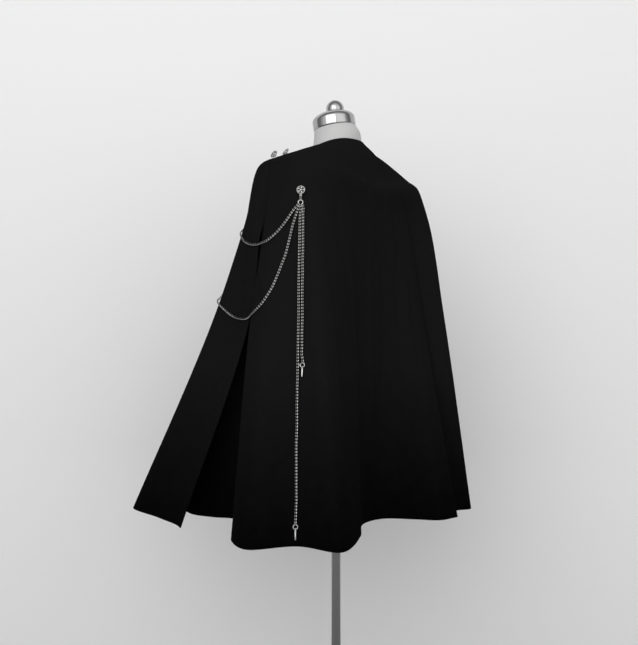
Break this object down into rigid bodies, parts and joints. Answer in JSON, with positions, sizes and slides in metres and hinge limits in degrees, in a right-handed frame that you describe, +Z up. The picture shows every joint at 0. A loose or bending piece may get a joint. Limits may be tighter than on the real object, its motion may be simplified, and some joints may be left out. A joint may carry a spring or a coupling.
{
  "type": "wool cloak on a dress form",
  "caption": "Hip-length wool cloak with an arm slit and chain trim at one shoulder, draped on a limbless dress form on a pole stand with a round base.",
  "frame": {"origin": "middle of the stand base's flat underside, on the floor, on the pole's axis", "axes": "+Z up; the body of the form faces -Y, so its left side is +X and its back is +Y"},
  "size_m": [0.6999, 0.6408, 1.5396],
  "materials": {
    "wool": "black wool coating with a soft brushed nap",
    "form_cloth": "pale plain-woven cover",
    "chrome": "polished chrome plate",
    "old_silver": "antique silver, dark in the recesses",
    "chain": "antique silver chain"
  },
  "bodies": {
    "stand": {"form_torso": "form_cloth", "neck_cap": "chrome", "neck_knob": "chrome", "stand_pole": "chrome", "stand_base": "chrome", "cloak_back": "wool", "cloak_front": "wool", "back_button": "old_silver", "back_link": "old_silver", "back_ring": "old_silver", "front_button": "old_silver", "front_link": "old_silver", "front_ring": "old_silver", "shoulder_button_back": "old_silver", "shoulder_button_front": "old_silver", "swag_upper": "chain", "swag_lower": "chain", "strand_long": "chain", "strand_short": "chain", "long_ring": "old_silver", "short_ring": "old_silver"},
    "long_spike": {"long_spike": "old_silver"},
    "short_spike": {"short_spike": "old_silver"}
  },
  "joints": [
    {"name": "long_spike_swing", "type": "hinge", "parent": "stand", "child": "long_spike", "pos_m": [0.27473, 0.14176, 0.58673], "axis": [0.712, -0.7022, 0], "range_deg": [0, 110]},
    {"name": "short_spike_swing", "type": "hinge", "parent": "stand", "child": "short_spike", "pos_m": [0.24103, 0.12813, 0.91668], "axis": [0.3417, -0.9398, 0], "range_deg": [0, 110]}
  ]
}
